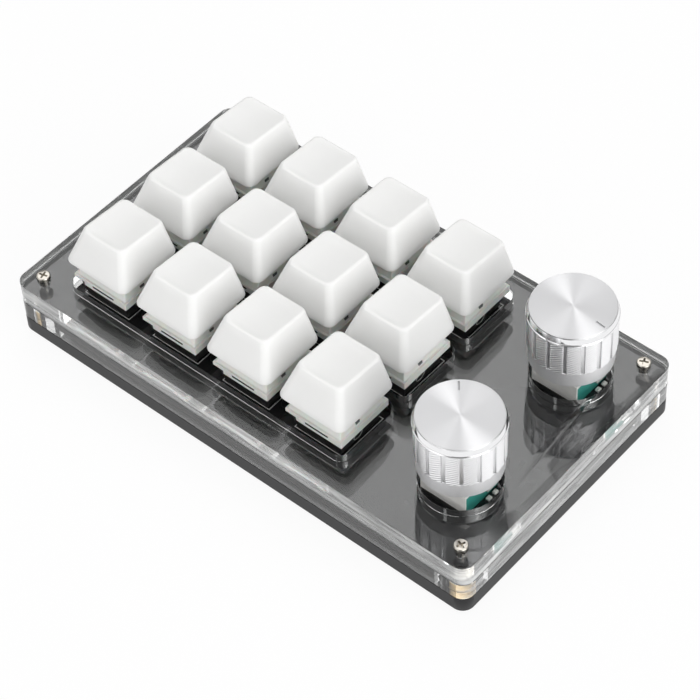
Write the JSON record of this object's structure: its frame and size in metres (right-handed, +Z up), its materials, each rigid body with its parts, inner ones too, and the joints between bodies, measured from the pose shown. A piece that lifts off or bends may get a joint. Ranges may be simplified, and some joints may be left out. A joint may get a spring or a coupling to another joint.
{
  "type": "macro keypad",
  "caption": "Desk macro keypad: milky keycaps in rows and two grooved metal knobs on a clear screwed case with a black base.",
  "frame": {"origin": "on the desk under the middle of the case", "axes": "+X along the case from the keys to the knobs, +Y to the back edge with the inlet, +Z up"},
  "size_m": [0.129, 0.072, 0.0358],
  "materials": {
    "clear": "polished clear acrylic",
    "base": "satin black",
    "board": "black solder mask with white print",
    "component": "moulded black packages",
    "socket": "plated steel",
    "screw": "nickel plated",
    "standoff": "machined brass",
    "foot": "soft black rubber",
    "housing": "milky translucent moulding",
    "housing_base": "black moulding",
    "contact": "copper alloy leaf",
    "encoder_body": "teal moulding",
    "encoder_metal": "folded plated sheet",
    "keycap": "milky translucent moulding, fine satin",
    "stem": "white moulding",
    "spring": "spring steel",
    "rotor": "moulded disc",
    "shaft": "turned",
    "knob": "turned, spun top, knurled panels"
  },
  "bodies": {
    "case": {"base_plate": "base", "middle_frame": "clear", "top_cover": "clear", "circuit_board": "board", "board_components": "component", "usb_socket": "socket", "cover_screws": "screw", "base_screws": "screw", "standoffs": "standoff", "rubber_feet": "foot", "switch_lower_housings": "housing_base", "switch_upper_housings": "housing", "switch_contacts": "contact", "encoder_bases": "encoder_body", "encoder_covers": "encoder_metal", "spring_01": "spring", "spring_02": "spring", "spring_03": "spring", "spring_04": "spring", "spring_05": "spring", "spring_06": "spring", "spring_07": "spring", "spring_08": "spring", "spring_09": "spring", "spring_10": "spring", "spring_11": "spring", "spring_12": "spring"},
    "key_01": {"keycap_01": "keycap", "stem_01": "stem"},
    "key_02": {"keycap_02": "keycap", "stem_02": "stem"},
    "key_03": {"keycap_03": "keycap", "stem_03": "stem"},
    "key_04": {"keycap_04": "keycap", "stem_04": "stem"},
    "key_05": {"keycap_05": "keycap", "stem_05": "stem"},
    "key_06": {"keycap_06": "keycap", "stem_06": "stem"},
    "key_07": {"keycap_07": "keycap", "stem_07": "stem"},
    "key_08": {"keycap_08": "keycap", "stem_08": "stem"},
    "key_09": {"keycap_09": "keycap", "stem_09": "stem"},
    "key_10": {"keycap_10": "keycap", "stem_10": "stem"},
    "key_11": {"keycap_11": "keycap", "stem_11": "stem"},
    "key_12": {"keycap_12": "keycap", "stem_12": "stem"},
    "front_dial": {"encoder_rotor_front": "rotor"},
    "front_knob": {"encoder_shaft_front": "shaft", "knob_front": "knob", "knob_grub_screw_front": "screw"},
    "rear_dial": {"encoder_rotor_rear": "rotor"},
    "rear_knob": {"encoder_shaft_rear": "shaft", "knob_rear": "knob", "knob_grub_screw_rear": "screw"}
  },
  "joints": [
    {"name": "key_01_press", "type": "slide", "parent": "case", "child": "key_01", "axis": [0, 0, -1], "range_m": [0, 0.004], "stiffness_N_per_m": 120, "springref_m": -0.0025, "deforming": ["spring_01"]},
    {"name": "key_02_press", "type": "slide", "parent": "case", "child": "key_02", "axis": [0, 0, -1], "range_m": [0, 0.004], "stiffness_N_per_m": 120, "springref_m": -0.0025, "deforming": ["spring_02"]},
    {"name": "key_03_press", "type": "slide", "parent": "case", "child": "key_03", "axis": [0, 0, -1], "range_m": [0, 0.004], "stiffness_N_per_m": 120, "springref_m": -0.0025, "deforming": ["spring_03"]},
    {"name": "key_04_press", "type": "slide", "parent": "case", "child": "key_04", "axis": [0, 0, -1], "range_m": [0, 0.004], "stiffness_N_per_m": 120, "springref_m": -0.0025, "deforming": ["spring_04"]},
    {"name": "key_05_press", "type": "slide", "parent": "case", "child": "key_05", "axis": [0, 0, -1], "range_m": [0, 0.004], "stiffness_N_per_m": 120, "springref_m": -0.0025, "deforming": ["spring_05"]},
    {"name": "key_06_press", "type": "slide", "parent": "case", "child": "key_06", "axis": [0, 0, -1], "range_m": [0, 0.004], "stiffness_N_per_m": 120, "springref_m": -0.0025, "deforming": ["spring_06"]},
    {"name": "key_07_press", "type": "slide", "parent": "case", "child": "key_07", "axis": [0, 0, -1], "range_m": [0, 0.004], "stiffness_N_per_m": 120, "springref_m": -0.0025, "deforming": ["spring_07"]},
    {"name": "key_08_press", "type": "slide", "parent": "case", "child": "key_08", "axis": [0, 0, -1], "range_m": [0, 0.004], "stiffness_N_per_m": 120, "springref_m": -0.0025, "deforming": ["spring_08"]},
    {"name": "key_09_press", "type": "slide", "parent": "case", "child": "key_09", "axis": [0, 0, -1], "range_m": [0, 0.004], "stiffness_N_per_m": 120, "springref_m": -0.0025, "deforming": ["spring_09"]},
    {"name": "key_10_press", "type": "slide", "parent": "case", "child": "key_10", "axis": [0, 0, -1], "range_m": [0, 0.004], "stiffness_N_per_m": 120, "springref_m": -0.0025, "deforming": ["spring_10"]},
    {"name": "key_11_press", "type": "slide", "parent": "case", "child": "key_11", "axis": [0, 0, -1], "range_m": [0, 0.004], "stiffness_N_per_m": 120, "springref_m": -0.0025, "deforming": ["spring_11"]},
    {"name": "key_12_press", "type": "slide", "parent": "case", "child": "key_12", "axis": [0, 0, -1], "range_m": [0, 0.004], "stiffness_N_per_m": 120, "springref_m": -0.0025, "deforming": ["spring_12"]},
    {"name": "front_knob_turn", "type": "hinge", "parent": "case", "child": "front_dial", "pos_m": [0.048, -0.01675, 0.015], "axis": [0, 0, 1], "continuous": true},
    {"name": "front_knob_push", "type": "slide", "parent": "front_dial", "child": "front_knob", "axis": [0, 0, -1], "range_m": [0, 0.0005], "stiffness_N_per_m": 4000, "springref_m": -0.0003},
    {"name": "rear_knob_turn", "type": "hinge", "parent": "case", "child": "rear_dial", "pos_m": [0.048, 0.02105, 0.015], "axis": [0, 0, 1], "continuous": true},
    {"name": "rear_knob_push", "type": "slide", "parent": "rear_dial", "child": "rear_knob", "axis": [0, 0, -1], "range_m": [0, 0.0005], "stiffness_N_per_m": 4000, "springref_m": -0.0003}
  ]
}
